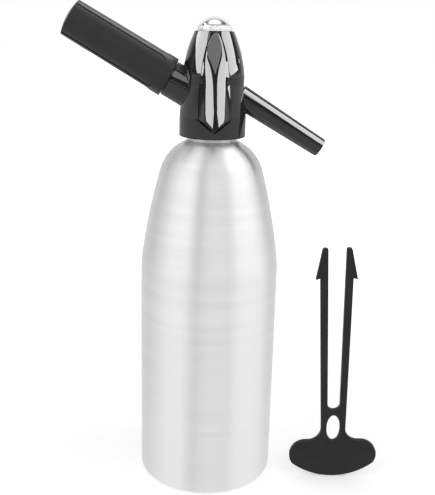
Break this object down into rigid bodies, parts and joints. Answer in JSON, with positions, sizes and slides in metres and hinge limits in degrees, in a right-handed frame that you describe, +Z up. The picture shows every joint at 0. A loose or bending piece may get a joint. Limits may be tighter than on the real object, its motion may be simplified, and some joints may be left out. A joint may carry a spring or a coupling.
{
  "type": "soda siphon",
  "caption": "Soda siphon: metal pressure bottle with a screw-on head, thumb lever, sloping spout and gas charger holder, with a forked key for its riser tube",
  "frame": {"origin": "centre of the bottle's flat base, on the surface it stands on", "axes": "+Z up along the bottle, the lever on the head faces -Y, the charger holder points to -X and the spout to +X"},
  "size_m": [0.2105, 0.09, 0.3123],
  "materials": {
    "brushed_aluminium": "brushed",
    "gloss_black": "gloss",
    "matte_black": "matte",
    "chrome": "polished",
    "brass": "machined",
    "steel": "satin",
    "aluminium": "satin",
    "rubber": "matte"
  },
  "bodies": {
    "bottle": {"bottle": "brushed_aluminium"},
    "riser": {"riser_tube": "matte_black", "riser_flange": "matte_black", "riser_gasket": "rubber"},
    "seal": {"head_gasket": "rubber"},
    "head": {"head_shell": "gloss_black", "neck_collar": "aluminium", "valve_block": "brass", "top_ring": "chrome", "top_dome": "chrome", "head_screw": "steel", "lever_pin": "steel", "valve_bush": "brass", "pin_seal": "rubber", "spring_plug": "brass", "plug_seal": "rubber", "charging_port": "brass", "port_seal": "rubber", "piercing_pin": "steel", "port_gasket": "rubber", "check_spring": "steel", "spout": "gloss_black", "spout_seal": "rubber", "valve_spring": "steel"},
    "lever": {"lever": "gloss_black"},
    "valve": {"valve_pin": "steel", "valve_disc": "rubber"},
    "ball": {"check_ball": "steel"},
    "charger": {"gas_charger": "steel"},
    "cushion": {"holder_cushion": "rubber"},
    "holder": {"holder_grip": "matte_black", "holder_liner": "aluminium"},
    "key": {"tube_key": "matte_black"}
  },
  "joints": [
    {"name": "riser_lift", "type": "slide", "parent": "bottle", "child": "riser", "axis": [0, 0, 1], "range_m": [0, 0.245]},
    {"name": "head_rise", "type": "slide", "parent": "riser", "child": "seal", "axis": [0, 0, 1], "range_m": [0, 0.0121]},
    {"name": "head_turn", "type": "hinge", "parent": "seal", "child": "head", "pos_m": [0, 0, 0.24751], "axis": [0, 0, 1], "range_deg": [0, 1440]},
    {"name": "lever_press", "type": "hinge", "parent": "head", "child": "lever", "pos_m": [0, -0.0085, 0.28811], "axis": [1, 0, 0], "range_deg": [0, 4], "stiffness_Nm_per_rad": 1.15, "springref_deg": -7.16},
    {"name": "valve_slide", "type": "slide", "parent": "head", "child": "valve", "axis": [0, 1, 0], "range_m": [0, 0.0017], "deforming": ["valve_spring"]},
    {"name": "check_ball_slide", "type": "slide", "parent": "head", "child": "ball", "axis": [0.866, 0, -0.5], "range_m": [0, 0.0008], "stiffness_N_per_m": 40, "springref_m": -0.002, "deforming": ["check_spring"]},
    {"name": "charger_pull", "type": "slide", "parent": "head", "child": "charger", "axis": [-0.866, 0, 0.5], "range_m": [0, 0.08]},
    {"name": "holder_advance", "type": "slide", "parent": "charger", "child": "cushion", "axis": [-0.866, 0, 0.5], "range_m": [0, 0.0091]},
    {"name": "holder_turn", "type": "hinge", "parent": "cushion", "child": "holder", "pos_m": [0, 0, 0.25161], "axis": [-0.866, 0, 0.5], "range_deg": [0, 1620]},
    {"name": "key_lift", "type": "slide", "parent": "bottle", "child": "key", "axis": [0, 0, 1], "range_m": [0, 0.1]}
  ],
  "couplings": [
    {"joint": "head_rise", "follows": "head_turn", "m_per_rad": 0.00047746},
    {"joint": "valve_slide", "follows": "lever_press", "m_per_rad": 0.024},
    {"joint": "holder_advance", "follows": "holder_turn", "m_per_rad": 0.00031831}
  ]
}
